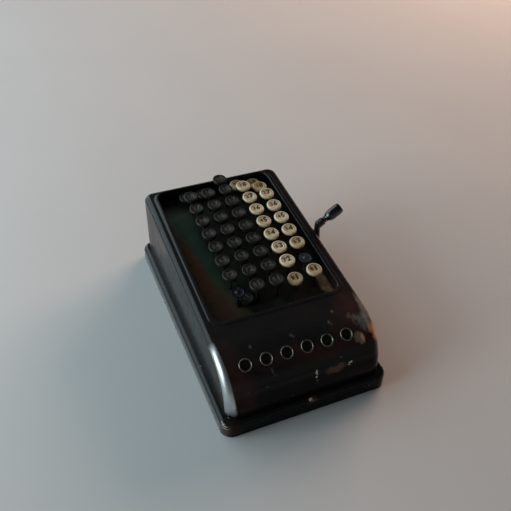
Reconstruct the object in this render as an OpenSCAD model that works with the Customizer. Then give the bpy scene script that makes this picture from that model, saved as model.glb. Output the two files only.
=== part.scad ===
// Small key-driven adding machine: sheet case on a moulded base, five columns
// of nine keys, six result wheels behind sight holes, clearing lever on the right.
// X runs to the operator's right, Y to the rear, Z up. The origin is the centre
// of the underside of the base. Millimetres and degrees.

/* [Case] */
// Width of the case
case_w = 148.4; // [146:0.2:154]
// Length of the case, front to rear
case_l = 252.8; // [251:0.2:258]
// Height of the case at the rear, above the table
case_h = 86.2; // [84:0.2:90]
// Fall of the top panel towards the front
panel_slope = 5.37; // [5:0.01:6]
// Radius of the curved front
front_r = 44.2; // [42:0.2:46]
// Radius of the long top edges
edge_r = 5.6; // [4:0.2:7]
// Radius of the upright corners
corner_r = 10; // [8:0.5:12]
// Thickness of the case sheet
sheet_t = 1.6; // [1.2:0.1:2]

/* [Base] */
// How far the base stands out all round
base_over = 5.9; // [4:0.1:8]
// Height of the base
base_h = 16.3; // [14:0.1:18]
// Thickness of the base floor
floor_t = 3; // [2.5:0.1:4]

/* [Keyboard] */
// Distance between key columns, and between result wheels
pitch = 19.05; // [18.8:0.05:19.2]
// Distance between key rows along the keyboard
row_pitch = 19; // [18.8:0.05:19.1]
// Tilt of the plane through the key tops
key_slope = 6.07; // [5.8:0.01:6.3]
// Position of the front key row, front to rear
row1_y = -40.1; // [-41:0.1:-39]
// Height of the top of a front-row key
row1_z = 79.7; // [79:0.1:80.4]
// Diameter of a key top
key_d = 15; // [14:0.2:16.6]
// Thickness of a key top
cap_t = 4.4; // [3.4:0.1:4.4]
// Travel of a key in the front row
travel_1 = 5.5; // [4:0.1:6]
// Extra travel for each row further back
travel_step = 1.3; // [1:0.05:1.3]
// Depth of the keyboard plate below the top panel
well_depth = 11.6; // [11.4:0.1:13]
// Half width of the keyboard opening
open_hx = 61; // [58:0.5:63]
// Front edge of the keyboard opening
open_y0 = -63; // [-66:0.5:-60]
// Rear edge of the keyboard opening
open_y1 = 119.5; // [119.4:0.1:120]
// Corner radius of the keyboard opening
open_r = 9; // [6:0.5:10]

/* [Key positions at rest] */
// Column of the first key that has lost its cap, 0 for none
bare_col = 5; // [0:1:5]
// Row of the first key that has lost its cap
bare_row = 2; // [1:1:9]
// Column of the second key that has lost its cap, 0 for none
bare_col_2 = 1; // [0:1:5]
// Row of the second key that has lost its cap
bare_row_2 = 1; // [1:1:9]
// How far the rear key of column 1 hangs down
hang_1_9 = 15; // [0:0.1:15.5]
// How far the rear key of column 2 hangs down
hang_2_9 = 15; // [0:0.1:15.5]
// How far the rear key of column 3 hangs down
hang_3_9 = 1.5; // [0:0.1:15.5]
// How far the rear key of column 4 hangs down
hang_4_9 = 12.6; // [0:0.1:15.5]
// How far the rear key of column 5 hangs down
hang_5_9 = 15.4; // [0:0.1:15.5]
// How far key 8 of column 5 hangs down
hang_5_8 = 5.6; // [0:0.1:14]
// How far key 1 of column 4 hangs down
hang_4_1 = 5; // [0:0.1:5.2]

/* [Result wheels] */
// Radius of a number wheel
wheel_r = 24; // [22:0.5:24.5]
// Width of the numbered rim
wheel_w = 12; // [9:0.5:12.5]
// Radius of the wheel axle
axle_r = 3; // [2.5:0.1:3.5]
// Running clearance on axles and pins
fit = 0.05; // [0.02:0.01:0.1]
// Direction a sight hole faces, above the horizontal
window_tilt = 55.2; // [52:0.2:58]
// Clear radius of a sight hole
window_r = 5.0; // [4.6:0.1:6]

/* [Clearing lever] */
// Position of the lever pivot, front to rear
lever_y = 22; // [10:1:30]
// Height of the lever pivot
lever_z = 38; // [36:0.5:40]
// Height of the lever from pivot to handle
lever_h = 38.3; // [34:0.1:42]
// Outward tilt of the handle above the horizontal
handle_tilt = 33; // [20:1:50]
// Length of the turned grip
grip_l = 20.3; // [20:0.1:26]

/* [Hidden] */
COLS = 5;
ROWS = 9;
BLACK_COLS = 3;
WHEELS = 6;

// case: the panel plane, and the centre line of the curved front
half_w = case_w / 2;
half_l = case_l / 2;
function panel_z(y) = case_h - (half_l - y) * tan(panel_slope);
// distance along the panel from the rear wall, negative towards the front
function panel_y(y) = (y - half_l) / cos(panel_slope);
arc_y = -half_l + front_r;
arc_z = panel_z(arc_y) - front_r / cos(panel_slope);
well_gap = 0.8; // well cut-out beyond the keyboard opening
well_wall = 1.4;
border_w = 5; // raised border round the opening
border_h = 0.8;

// column 0 only receives carries; centre_col lies on the case centre line
centre_col = 2.658;
function col_x(c) = (c - centre_col) * pitch;
function row_y(r) = row1_y + (r - 1) * row_pitch * cos(key_slope);
function row_z(r) = row1_z + (r - 1) * row_pitch * sin(key_slope);
function hang(c, r) =
    r == 9 ? [hang_1_9, hang_2_9, hang_3_9, hang_4_9, hang_5_9][c - 1] :
    (c == 5 && r == 8) ? hang_5_8 :
    (c == 4 && r == 1) ? hang_4_1 : 0;
function is_bare(c, r) =
    (c == bare_col && r == bare_row) || (c == bare_col_2 && r == bare_row_2);

// key stems and the two plates that guide them
seat_t = 1.2;
stem_x = 1.6;
stem_y = 5;
slot_gap = 0.15;
stem_below = 6; // stem below the guide plate
plate_t = 1.6;
guide_drop = 16;
guide_t = 1.5;
plate_depth = well_depth + plate_t;
guide_depth = well_depth + guide_drop + guide_t;

// wheel axis, under the sight holes
wheel_gap = 1.5;
sleeve_t = 0.8; // wall of a sight hole rim
axis_d = front_r - sheet_t - wheel_gap - wheel_r;
axis_y = arc_y - axis_d * cos(window_tilt);
axis_z = arc_z + axis_d * sin(window_tilt);

// frame side plates, and the screws that hold the frame to the base
frame_x = 66;
frame_t = 2;
screw_xs = [-57, 57];
screw_ys = [-100, 105];

// clearing lever
shaft_r = 4;
arm_x = 77.5;
arm_t = 3;
arm_half = 3.6; // half width of the arm
pin_r = 2;
ferrule_l = 9.2;
pin_l = 16; // pin beyond the ferrule

function key_name(c, r) = str("key_col", c, "_digit", r);
function wheel_name(k) = str("number_wheel_", k + 1);

// Rounded rectangle
module rrect(x0, x1, y0, y1, radius) {
    translate([x0 + radius, y0]) square([x1 - x0 - 2 * radius, y1 - y0]);
    translate([x0, y0 + radius]) square([x1 - x0, y1 - y0 - 2 * radius]);
    for (x = [x0 + radius, x1 - radius])
        for (y = [y0 + radius, y1 - radius])
            translate([x, y]) circle(radius, $fn = 48);
}

// Slab with the plan of the case, grown on every side
module slab(grow, radius, z0, z1) {
    x = half_w + grow;
    y = half_l + grow;
    translate([0, 0, z0]) linear_extrude(z1 - z0) rrect(-x, x, -y, y, radius);
}

// Cylinder along X, starting at the given point
module rod_x(start, length, radius, sides = 48) {
    translate(start) rotate([0, 90, 0]) cylinder(h = length, r = radius, $fn = sides);
}

// Children in the panel's frame: z = 0 on the panel plane, y = 0 at the rear wall
module on_panel() {
    translate([0, half_l, case_h]) rotate([panel_slope, 0, 0]) children();
}

// Children at sight hole k: z = 0 on the outer surface, z axis along the hole
module on_window(k) {
    translate([col_x(k), arc_y - front_r * cos(window_tilt),
               arc_z + front_r * sin(window_tilt)])
        rotate([90 - window_tilt, 0, 0]) children();
}

// Children at the handle's foot, z axis along the handle
module on_handle() {
    translate([arm_x + arm_t / 2, lever_y, lever_z + lever_h])
        rotate([0, 90 - handle_tilt, 0]) children();
}

module at_screws() {
    for (x = screw_xs) for (y = screw_ys) translate([x, y, 0]) children();
}

// Keyboard opening in the panel's frame, grown at the front and sides, and at the rear
module opening(grow, rear_grow, radius_grow) {
    rrect(-open_hx - grow, open_hx + grow, panel_y(open_y0) - grow,
          panel_y(open_y1) + rear_grow, open_r + radius_grow);
}

// Tall prism of the opening, for cutting
module opening_cutter(grow) {
    translate([0, 0, -20]) linear_extrude(30) opening(grow, grow, grow);
}

// Solid envelope of the case
module case_body(inset, bottom) {
    rear_steps = 3;
    front_steps = 14;
    hull() {
        slab(-inset, corner_r - inset, bottom, bottom + 0.2);
        for (side = [-1, 1]) {
            // rear top corners: the edge radius carried round the corner radius
            for (i = [0:rear_steps]) {
                a = i * 90 / rear_steps;
                swing = corner_r - edge_r;
                y = half_l - corner_r + swing * sin(a);
                translate([side * (half_w - corner_r + swing * cos(a)), y,
                           panel_z(y) - edge_r / cos(panel_slope)])
                    sphere(edge_r - inset, $fn = 32);
            }
            // curved front, from the upright face to the panel
            for (i = [0:front_steps]) {
                a = i * (90 - panel_slope) / front_steps;
                radius = corner_r + (edge_r - corner_r) * i / front_steps;
                translate([side * (half_w - radius), arc_y - (front_r - radius) * cos(a),
                           arc_z + (front_r - radius) * sin(a)])
                    rotate([-a, 0, 0]) sphere(radius - inset, $fn = 32);
            }
        }
    }
}

module case_cover() {
    color([0.09, 0.075, 0.075]) {
        difference() {
            case_body(0, base_h);
            case_body(sheet_t, base_h - 0.1);
            // flat lower edge, resting on the base
            translate([-half_w - 1, -half_l - 1, 0]) cube([case_w + 2, case_l + 2, base_h]);
            on_panel() opening_cutter(well_gap);
            // sight holes
            for (k = [0:WHEELS - 1]) on_window(k)
                translate([0, 0, -5]) cylinder(h = 10, r = window_r + sleeve_t, $fn = 48);
            // opening for the lever shaft
            rod_x([half_w - 6, lever_y, lever_z], 12, shaft_r + 1);
        }
        // wall of the keyboard well with a raised, bevelled border
        on_panel() difference() {
            union() {
                translate([0, 0, 0.1 - well_depth]) linear_extrude(well_depth + 0.1)
                    opening(well_wall, well_wall, well_wall);
                hull() {
                    translate([0, 0, -sheet_t]) linear_extrude(sheet_t)
                        opening(border_w, 2.1, border_w - 1);
                    linear_extrude(border_h) opening(3, 1.2, 2);
                }
            }
            opening_cutter(0);
        }
    }
}

module base_pan() {
    upstand_inset = sheet_t + 0.2;
    wall_inset = 4;
    // stepped top edge: [inset, lower z, upper z]
    steps = [
        [0, 0, base_h - 2.6],
        [0.7, base_h - 2.6, base_h - 1],
        [2, base_h - 1, base_h]];
    color([0.11, 0.10, 0.10]) difference() {
        union() {
            for (s = steps) slab(base_over - s[0], corner_r + 1 - s[0], s[1], s[2]);
            // upstand that locates the case
            slab(-upstand_inset, corner_r - upstand_inset, base_h - 1, base_h + 4);
        }
        slab(-wall_inset, corner_r - wall_inset, floor_t, base_h + 5);
        // screw holes, recessed for the heads
        at_screws() translate([0, 0, -0.1]) {
            cylinder(h = 2.2, r = 4.2, $fn = 32);
            cylinder(h = floor_t + 0.2, r = 2.2, $fn = 32);
        }
    }
}

module base_screws() {
    color([0.42, 0.41, 0.38]) at_screws() difference() {
        union() {
            // head and shank
            translate([0, 0, 0.4]) cylinder(h = 1.6, r = 4, $fn = 32);
            translate([0, 0, 1.8]) cylinder(h = 9, r = 1.98, $fn = 32);
        }
        // driver slot
        translate([-4.5, -0.5, 0.3]) cube([9, 1, 0.9]);
    }
}

// Cutters for the key stem slots
module stem_slots() {
    slot_x = stem_x + 2 * slot_gap;
    slot_y = stem_y + 2 * slot_gap;
    for (c = [1:COLS]) for (r = [1:ROWS])
        translate([col_x(c) - slot_x / 2, row_y(r) - slot_y / 2, 20])
            cube([slot_x, slot_y, 80]);
}

module keyboard_plate() {
    half_x = frame_x + frame_t;
    color([0.16, 0.25, 0.20]) difference() {
        on_panel() translate([0, 0, -plate_depth]) linear_extrude(plate_t)
            rrect(-half_x, half_x, panel_y(open_y0 - 5), panel_y(123), 4);
        stem_slots();
    }
}

// Outline of a side plate as [y, z], cut to the underside of the keyboard plate
module side_outline() {
    front = -112;
    rear = 118;
    step_y = -62;
    under = plate_depth / cos(panel_slope);
    polygon([
        [front, floor_t], [rear, floor_t],
        [rear, panel_z(rear) - under], [step_y, panel_z(step_y) - under],
        [-70, axis_z + 8], [front, axis_z + 8]]);
}

module mechanism_frame() {
    guide_y0 = panel_y(-52);
    guide_y1 = panel_y(117);
    spacers = [[-104, 12], [-56, 14], [30, 14], [105, 20]]; // [y, z]
    block = [15, 12, 9];
    color([0.34, 0.33, 0.31]) difference() {
        union() {
            for (x = [-frame_x - frame_t, frame_x])
                translate([x, 0, 0]) rotate([90, 0, 90])
                    linear_extrude(frame_t) side_outline();
            // guide plate for the lower ends of the stems
            on_panel() translate([-frame_x, guide_y0, -guide_depth])
                cube([2 * frame_x, guide_y1 - guide_y0, guide_t]);
            // spacer rods
            for (p = spacers) rod_x([-frame_x, p[0], p[1]], 2 * frame_x, 3, 32);
            // screw blocks against the side plates
            for (x = [-frame_x, frame_x - block[0]]) for (y = screw_ys)
                translate([x, y - block[1] / 2, floor_t]) cube(block);
        }
        stem_slots();
        at_screws() cylinder(h = 11, r = 2.05, $fn = 32);
        // seats of the wheel axle
        rod_x([-80, axis_y, axis_z], 160, axle_r + 0.02);
        // bearing of the lever shaft
        rod_x([frame_x - 1, lever_y, lever_z], 5, shaft_r + fit);
    }
}

module window_rims() {
    outer_r = window_r + sleeve_t;
    flange_r = window_r + 1.3;
    color([0.45, 0.44, 0.42]) for (k = [0:WHEELS - 1]) on_window(k)
        rotate_extrude($fn = 64) polygon([
            [window_r, -3], [outer_r, -3], [outer_r, -0.9], [flange_r, -0.9],
            [flange_r, 0.1], [window_r + 1, 0.6], [window_r + 0.4, 0.6], [window_r, 0.2]]);
}

module wheel_axle() {
    axle_end = frame_x + frame_t + 2;
    collar_l = 1.9;
    color([0.55, 0.54, 0.52]) {
        rod_x([-axle_end, axis_y, axis_z], 2 * axle_end, axle_r);
        // end collars
        for (x = [-axle_end, axle_end - collar_l])
            rod_x([x, axis_y, axis_z], collar_l, axle_r + 1.6);
    }
}

// Turned cap with a dished top at z = 0
module key_cap() {
    key_r = key_d / 2;
    rotate_extrude($fn = 48) polygon([
        [0, -cap_t], [key_r - 1.1, -cap_t], [key_r - 0.3, -cap_t + 0.8],
        [key_r, -cap_t + 1.8], [key_r, -1], [key_r - 0.3, -0.3], [key_r - 1, 0],
        [key_r - 1.9, -0.1], [key_r * 0.5, -0.75], [0, -1]]);
}

// One key: cap on a seat disc, flat stem through the two guides.
// The stem slides along Z, the cap follows the slope of the keyboard.
module key(c, r) {
    shade = is_bare(c, r) ? [0.25, 0.26, 0.29] :
        c <= BLACK_COLS ? [0.07, 0.07, 0.07] : [0.83, 0.77, 0.65];
    foot = panel_z(row_y(r)) - guide_depth / cos(panel_slope) - stem_below;
    top = row_z(r) - cap_t - 0.4;
    color(shade) translate([col_x(c), row_y(r), -hang(c, r)]) {
        translate([0, 0, row_z(r)]) rotate([key_slope, 0, 0]) {
            if (!is_bare(c, r)) key_cap();
            translate([0, 0, -cap_t - seat_t])
                cylinder(h = seat_t + 0.1, r = key_d / 2 - 1.8, $fn = 48);
        }
        translate([-stem_x / 2, -stem_y / 2, foot]) cube([stem_x, stem_y, top - foot]);
    }
}

// One number wheel: numbered rim, web, hub and a ten-tooth ratchet
module number_wheel(k) {
    bore_r = axle_r + fit;
    rim_r = wheel_r - 2.5; // inside of the rim
    rim_half = wheel_w / 2;
    web_half = 1.2;
    hub_half = 9.3;
    left_hub_r = 6.5;
    right_hub_r = 8;
    teeth = 10;
    root_r = wheel_r - 8;
    tip_r = wheel_r - 4.5;
    rise_angle = 33; // from the root of a tooth to its tip
    color([0.13, 0.12, 0.11]) translate([col_x(k), axis_y, axis_z]) rotate([0, 90, 0]) {
        rotate_extrude($fn = 80) polygon([
            [bore_r, -hub_half], [left_hub_r, -hub_half], [left_hub_r, -web_half],
            [rim_r, -web_half], [rim_r, -rim_half], [wheel_r, -rim_half],
            [wheel_r, rim_half], [rim_r, rim_half], [rim_r, web_half],
            [right_hub_r, web_half], [right_hub_r, hub_half], [bore_r, hub_half]]);
        difference() {
            translate([0, 0, 6.8]) linear_extrude(2.2) polygon([
                for (i = [0:teeth - 1])
                    for (p = [[0, root_r], [rise_angle, tip_r]])
                        let (a = i * 360 / teeth + p[0]) [p[1] * cos(a), p[1] * sin(a)]]);
            translate([0, 0, 6]) cylinder(h = 4, r = 7, $fn = 48);
        }
    }
}

module clearing_lever() {
    shaft_x = 54;
    finger_x = 56;
    finger_t = 4;
    hub_x = half_w + 0.6;
    // turned parts on the pivot line: [x, length, radius, sides]
    turned = [
        [shaft_x, arm_x - shaft_x + 0.5, shaft_r, 48],
        [69, 2, 5.4, 48], // collar outside the frame
        [hub_x, arm_x + arm_t - hub_x, 7, 48],
        [arm_x + arm_t - 0.1, 1.3, 3, 32], // disc on the outer face
        [finger_x, finger_t, 7, 48]];
    color([0.16, 0.16, 0.17]) {
        for (t = turned) rod_x([t[0], lever_y, lever_z], t[1], t[2], t[3]);
        // clearing finger on the inner end
        translate([finger_x, lever_y - 4, lever_z - 18]) cube([finger_t, 8, 14]);
        // arm
        translate([arm_x, lever_y - arm_half, lever_z]) cube([arm_t, 2 * arm_half, lever_h]);
        rod_x([arm_x, lever_y, lever_z + lever_h], arm_t, arm_half);
        // ferrule and pin of the grip
        on_handle() {
            rotate_extrude($fn = 48) polygon([
                [0, 0], [3.7, 0], [4.2, 0.5], [4.3, 1.6], [4.3, 2.4], [3.8, 2.9],
                [4.3, 3.4], [4.3, 4.6], [3.8, 5.1], [4.2, 5.6], [4.1, 6.8], [3.4, 7.6],
                [3.2, ferrule_l], [0, ferrule_l]]);
            cylinder(h = ferrule_l + pin_l, r = pin_r, $fn = 48);
        }
    }
}

module lever_grip() {
    bore_r = pin_r + fit;
    bore_l = pin_l + 0.4;
    color([0.05, 0.05, 0.055]) on_handle() translate([0, 0, ferrule_l + 0.2])
        rotate_extrude($fn = 64) polygon([
            [bore_r, 0], [3.4, 0], [3.5, 0.5], [3.3, 1.2], [3.6, 2.0], [4.6, 3.4],
            [5.3, 5.2], [5.7, 7.5], [5.8, 10], [5.7, 12.5], [5.4, grip_l - 4.8],
            [5, grip_l - 2.4], [4.6, grip_l - 0.9], [4, grip_l - 0.2], [3.2, grip_l],
            [0, grip_l], [0, bore_l], [bore_r, bore_l]]);
}

base_pan();
case_cover();
keyboard_plate();
mechanism_frame();
window_rims();
wheel_axle();
base_screws();
for (c = [1:COLS]) for (r = [1:ROWS])
    key(c, r);
for (k = [0:WHEELS - 1])
    number_wheel(k);
clearing_lever();
lever_grip();
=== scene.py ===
"""A small adding machine: black enamelled case, sloping keyboard, number wheels and a side lever.

It stands on z = 0, centred in plan, with its front towards -y and its right side towards +x.
Lengths are in millimetres and become metres as meshes are made. Shader coordinates, lights and
the camera are in metres.
"""
import bpy
import bmesh
import math
import numpy as np
from functools import cache
from mathutils import Matrix, Vector


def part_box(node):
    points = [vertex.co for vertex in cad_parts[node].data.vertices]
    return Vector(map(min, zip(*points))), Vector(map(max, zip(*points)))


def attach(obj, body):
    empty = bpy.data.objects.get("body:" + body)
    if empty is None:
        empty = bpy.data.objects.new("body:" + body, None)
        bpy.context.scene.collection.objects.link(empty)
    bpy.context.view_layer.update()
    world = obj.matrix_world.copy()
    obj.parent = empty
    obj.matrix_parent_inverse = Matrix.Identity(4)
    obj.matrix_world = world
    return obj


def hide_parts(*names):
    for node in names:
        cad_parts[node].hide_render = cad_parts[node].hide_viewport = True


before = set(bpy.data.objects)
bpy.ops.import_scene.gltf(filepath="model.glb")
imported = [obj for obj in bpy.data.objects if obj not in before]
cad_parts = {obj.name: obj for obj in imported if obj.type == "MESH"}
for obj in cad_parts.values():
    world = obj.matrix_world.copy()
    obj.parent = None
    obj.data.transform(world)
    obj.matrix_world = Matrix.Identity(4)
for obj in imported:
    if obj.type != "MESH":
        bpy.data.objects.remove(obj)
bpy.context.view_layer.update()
MM = 0.001


def half_size(part, axis):
    lo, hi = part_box(part)
    return (getattr(hi, axis) - getattr(lo, axis)) / 2 / MM


def middle(part, axis):
    lo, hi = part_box(part)
    return (getattr(lo, axis) + getattr(hi, axis)) / 2 / MM


# ---------------------------------------------------------------- dimensions
HALF_W = half_size("case_cover", "x")
HALF_L = half_size("case_cover", "y")
BASE_HALF_W = half_size("base_pan", "x")
BASE_HALF_L = half_size("base_pan", "y")
CASE_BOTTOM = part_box("case_cover")[0].z / MM
CASE_H = 86.2                     # height of the top panel, carried on to the rear wall
SLOPE = math.radians(5.37)        # fall of the top panel towards the front
FRONT_R = 44.2                    # big curve from the panel to the upright front
EDGE_R = 5.6                      # edges round the top panel
CORNER_R = 10.0                   # upright corners
SHEET = 1.6
# keyboard opening and the outside of its rim, in plan
OPEN_X, OPEN_Y0, OPEN_Y1, OPEN_R = 61.0, -63.0, 119.5, 9.0
RIM_X, RIM_Y0, RIM_Y1, RIM_R = 66.0, -68.0, 121.5, 13.0
WELL = 11.6                       # depth of the keyboard plate below the panel
PITCH = 19.05                     # between columns
MID_COL = 2.658                   # column number that falls on x = 0
WHEELS = 6
WINDOW_TILT = math.radians(55.2)  # of the sight holes, up from straight ahead
WINDOW_R = 4.65
LEVER_Y = middle("clearing_lever", "y")
LEVER_Z = 38.0
STEEPNESS = math.tan(SLOPE)
PANEL_N = (-math.sin(SLOPE), math.cos(SLOPE))   # panel normal (y, z)


def panel_z(y):
    return CASE_H - (HALF_L - y) * STEEPNESS


# centres of the front curve and of the rear top edge, in the YZ plane
ARC_Y = -HALF_L + FRONT_R
ARC_Z = panel_z(ARC_Y) - FRONT_R / math.cos(SLOPE)
REAR_Y = HALF_L - EDGE_R
REAR_Z = panel_z(REAR_Y) - EDGE_R / math.cos(SLOPE)


def col_x(col):
    return (col - MID_COL) * PITCH


# ---------------------------------------------------------------- mesh tools
def make_obj(name, verts, faces, mat=None, smooth=True, scale=MM):
    me = bpy.data.meshes.new(name)
    me.from_pydata([(x * scale, y * scale, z * scale) for x, y, z in verts], [], faces)
    me.validate()
    me.update()
    if smooth:
        me.polygons.foreach_set("use_smooth", [True] * len(me.polygons))
    ob = bpy.data.objects.new(name, me)
    bpy.context.scene.collection.objects.link(ob)
    if mat:
        me.materials.append(mat)
    return ob


def fix_normals(ob):
    bm = bmesh.new()
    bm.from_mesh(ob.data)
    bmesh.ops.recalc_face_normals(bm, faces=bm.faces)
    bm.to_mesh(ob.data)
    bm.free()
    return ob


def sharp_by_angle(ob, degrees):
    """Smooth shading with hard edges above an angle."""
    bm = bmesh.new()
    bm.from_mesh(ob.data)
    limit = math.radians(degrees)
    for e in bm.edges:
        e.smooth = not (len(e.link_faces) == 2 and e.calc_face_angle(0) > limit)
    for f in bm.faces:
        f.smooth = True
    bm.to_mesh(ob.data)
    bm.free()


def cut(ob, cutter):
    """Takes the cutter's solid out of an object and removes the cutter."""
    mod = ob.modifiers.new("cut", "BOOLEAN")
    mod.operation = "DIFFERENCE"
    mod.solver = "MANIFOLD"
    mod.object = cutter
    bpy.context.view_layer.update()
    graph = bpy.context.evaluated_depsgraph_get()
    me = bpy.data.meshes.new_from_object(ob.evaluated_get(graph), preserve_all_data_layers=True,
                                         depsgraph=graph)
    old = ob.data
    ob.modifiers.clear()
    ob.data = me
    bpy.data.meshes.remove(old)
    bpy.data.objects.remove(cutter)


def lathe(name, prof, seg, mat=None):
    """Turned piece about Z. prof is [(r, z)]; a point with r = 0 closes it."""
    verts, faces, rings = [], [], []
    for r, z in prof:
        if r < 1e-6:
            rings.append([len(verts)])
            verts.append((0, 0, z))
        else:
            rings.append(list(range(len(verts), len(verts) + seg)))
            for i in range(seg):
                a = 2 * math.pi * i / seg
                verts.append((r * math.cos(a), r * math.sin(a), z))
    for low, high in zip(rings, rings[1:]):
        for i in range(seg):
            j = (i + 1) % seg
            if len(low) == 1:
                faces.append((low[0], high[j], high[i]))
            elif len(high) == 1:
                faces.append((low[i], low[j], high[0]))
            else:
                faces.append((low[i], low[j], high[j], high[i]))
    return fix_normals(make_obj(name, verts, faces, mat))


def ring_lathe(name, prof, seg, mat):
    """Turned ring: a closed profile that doesn't reach the axis."""
    n = len(prof)
    verts, faces = [], []
    for i in range(seg):
        a = 2 * math.pi * i / seg
        verts += [(r * math.cos(a), r * math.sin(a), z) for r, z in prof]
        j = (i + 1) % seg
        for k in range(n):
            l = (k + 1) % n
            faces.append((i * n + k, j * n + k, j * n + l, i * n + l))
    return fix_normals(make_obj(name, verts, faces, mat))


def rounded(prof, r, steps):
    """Rounds the corners of an open profile."""
    out = [prof[0]]
    for points in zip(prof, prof[1:], prof[2:]):
        before, corner, after = (np.array(p, float) for p in points)
        u, v = before - corner, after - corner
        len_u, len_v = np.linalg.norm(u), np.linalg.norm(v)
        reach = min(r, len_u * 0.45, len_v * 0.45)
        start, end = corner + u / len_u * reach, corner + v / len_v * reach
        for i in range(steps + 1):
            t = i / steps
            out.append(tuple((1 - t) ** 2 * start + 2 * t * (1 - t) * corner + t * t * end))
    out.append(prof[-1])
    return out


def rounded_rect(x0, x1, y0, y1, r, steps=12):
    """Counter-clockwise path with the same point count for any size."""
    path = []
    for cx, cy, start in ((x1 - r, y1 - r, 0), (x0 + r, y1 - r, 90),
                          (x0 + r, y0 + r, 180), (x1 - r, y0 + r, 270)):
        for i in range(steps + 1):
            a = math.radians(start + 90 * i / steps)
            path.append((cx + r * math.cos(a), cy + r * math.sin(a)))
    return path


def skin(name, rings, mat=None, closed=False):
    """Skins a stack of closed point loops; closed joins last to first, otherwise ends are capped."""
    n, m = len(rings[0]), len(rings)
    faces = []
    for k in range(m if closed else m - 1):
        l = (k + 1) % m
        for i in range(n):
            j = (i + 1) % n
            faces.append((k * n + i, k * n + j, l * n + j, l * n + i))
    if not closed:
        faces.append(tuple(reversed(range(n))))
        faces.append(tuple(range((m - 1) * n, m * n)))
    return fix_normals(make_obj(name, [p for ring in rings for p in ring], faces, mat))


def join(name, parts):
    """Joins one-material pieces into a new object."""
    bm = bmesh.new()
    mats = []
    for ob in parts:
        mat = ob.data.materials[0]
        if mat not in mats:
            mats.append(mat)
        first = len(bm.faces)
        bm.from_mesh(ob.data)
        bm.faces.ensure_lookup_table()
        for f in bm.faces[first:]:
            f.material_index = mats.index(mat)
    me = bpy.data.meshes.new(name)
    bm.to_mesh(me)
    bm.free()
    for mat in mats:
        me.materials.append(mat)
    for ob in parts:
        bpy.data.objects.remove(ob)
    ob = bpy.data.objects.new(name, me)
    bpy.context.scene.collection.objects.link(ob)
    return ob


def placed(ob, matrix):
    """Bakes a placement, given in millimetres, into the mesh."""
    matrix = matrix.copy()
    matrix.translation = matrix.translation * MM
    ob.data.transform(matrix)
    return ob


def aimed(axis, centre):
    """Placement that turns Z along an axis."""
    matrix = axis.to_track_quat("Z", "Y").to_matrix().to_4x4()
    matrix.translation = Vector(centre)
    return matrix


def drill(ob, centre, axis, r, half, seg=96):
    """Cuts a round hole reaching half a length either way from its centre."""
    tool = lathe("drill", [(0, -half), (r, -half), (r, half), (0, half)], seg)
    cut(ob, placed(tool, aimed(Vector(axis).normalized(), centre)))


def assign(ob, part, replaces=None):
    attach(ob, part)
    if replaces:
        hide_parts(replaces)


# ---------------------------------------------------------------- node tools
class Nodes:
    """Short calls for building a node tree."""

    def __init__(self, tree, coords):
        tree.nodes.clear()
        self.tree = tree
        self.co = self.node("TexCoord").outputs[coords]

    def put(self, socket, value):
        if isinstance(value, bpy.types.NodeSocket):
            self.tree.links.new(value, socket)
        else:
            socket.default_value = value

    def node(self, kind, inputs=None, **settings):
        node = self.tree.nodes.new("ShaderNode" + kind)
        for key, value in settings.items():
            setattr(node, key, value)
        for key, value in (inputs or {}).items():
            self.put(node.inputs[key], value)
        return node

    def math(self, operation, a, b=0.0, c=0.0, clamp=False):
        return self.node("Math", {0: a, 1: b, 2: c}, operation=operation,
                         use_clamp=clamp).outputs[0]

    def mul(self, a, b):
        return self.math("MULTIPLY", a, b)

    def add(self, a, b, clamp=False):
        return self.math("ADD", a, b, clamp=clamp)

    def sub(self, a, b, clamp=False):
        return self.math("SUBTRACT", a, b, clamp=clamp)

    def max(self, a, b):
        return self.math("MAXIMUM", a, b)

    def vector(self, operation, a, inputs=None):
        return self.node("VectorMath", {0: a, **(inputs or {})}, operation=operation)

    def xyz(self, co):
        return tuple(self.node("SeparateXYZ", {0: co}).outputs)

    @staticmethod
    def rgba(c):
        if isinstance(c, bpy.types.NodeSocket):
            return c
        return (c, c, c, 1) if isinstance(c, (int, float)) else tuple(c) + (1,)

    def ramp(self, value, stops):
        """Colour ramp; stops are (position, grey or colour)."""
        node = self.node("ValToRGB", {0: value})
        elements = node.color_ramp.elements
        while len(elements) > 1:
            elements.remove(elements[0])
        elements[0].position = stops[0][0]
        elements[0].color = self.rgba(stops[0][1])
        for position, colour in stops[1:]:
            elements.new(position).color = self.rgba(colour)
        return node.outputs[0]

    def fade(self, value, start, end, top=1.0):
        """Black up to start, rising to the grey top at end."""
        return self.ramp(value, [(start, 0.0), (end, top)])

    def mix(self, factor, a, b):
        node = self.node("Mix", {"Factor": factor}, data_type="RGBA")
        colours = [s for s in node.inputs if s.type == "RGBA"]
        self.put(colours[0], self.rgba(a))
        self.put(colours[1], self.rgba(b))
        return next(s for s in node.outputs if s.type == "RGBA")

    def lay(self, base, mask, colour, amount):
        """Lays a colour over the base where the mask is, at some strength."""
        return self.mix(self.mul(mask, amount), base, colour)

    def remap(self, value, source, target=(0.0, 1.0)):
        """Carries one range onto another, clamped."""
        return self.node("MapRange", {"Value": value, "From Min": source[0],
                                      "From Max": source[1], "To Min": target[0],
                                      "To Max": target[1]}, clamp=True).outputs[0]


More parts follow.
